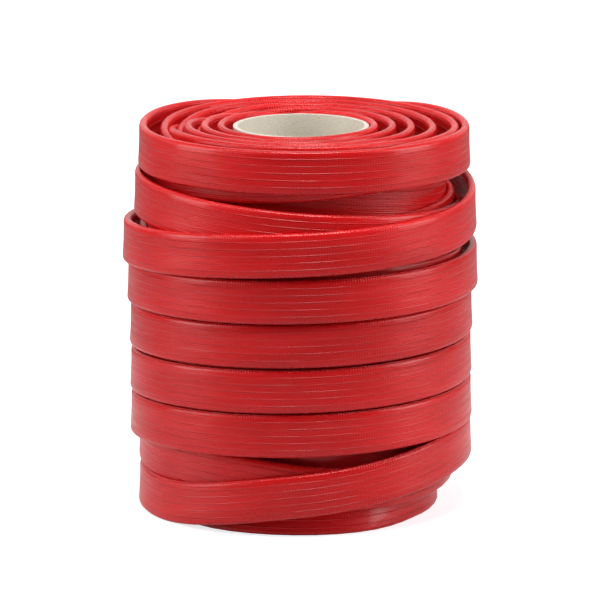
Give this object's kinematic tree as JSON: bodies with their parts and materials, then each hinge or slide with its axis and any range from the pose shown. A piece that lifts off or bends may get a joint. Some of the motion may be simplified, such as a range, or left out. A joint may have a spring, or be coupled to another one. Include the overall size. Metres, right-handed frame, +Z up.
{
  "type": "rolled fire hose",
  "caption": "Flat-wound small-bore red fire hose in crossing layers on a plain open paperboard core, stood on end, its outer end taped down at the back.",
  "frame": {"origin": "on the core's axis, in the plane that the roll stands on", "axes": "+Z up the core's axis, from the end that the roll stands on to the other end; -Y is the side where the outermost layer starts at the top ring"},
  "size_m": [0.2108, 0.2125, 0.228],
  "materials": {
    "core_liner": "smooth uncoated paper",
    "core_board": "wound board, cut edge",
    "core_wrap": "smooth uncoated paper",
    "hose_cover": "ribbed glossy elastomer over a woven jacket",
    "hose_jacket": "woven synthetic yarn",
    "hose_lining": "smooth rubber",
    "tape": "packing tape"
  },
  "bodies": {
    "core": {"core_liner": "core_liner", "core_board": "core_board", "core_wrap": "core_wrap"},
    "hose_roll": {"hose_layer_01": "hose_cover", "hose_layer_02": "hose_cover", "hose_layer_03": "hose_cover", "hose_layer_04": "hose_cover", "hose_layer_05": "hose_cover", "hose_layer_06": "hose_cover", "hose_layer_07": "hose_cover", "hose_layer_08": "hose_cover", "hose_layer_09": "hose_cover", "hose_layer_10": "hose_cover", "hose_layer_11": "hose_cover", "hose_layer_12": "hose_cover", "inner_end_cover": "hose_cover", "outer_end_cover": "hose_cover", "inner_end_jacket": "hose_jacket", "outer_end_jacket": "hose_jacket", "inner_end_lining": "hose_lining", "outer_end_lining": "hose_lining", "end_tape": "tape"}
  },
  "joints": [
    {"name": "roll_lift", "type": "slide", "parent": "core", "child": "hose_roll", "axis": [0, 0, 1], "range_m": [0, 0.24]}
  ]
}
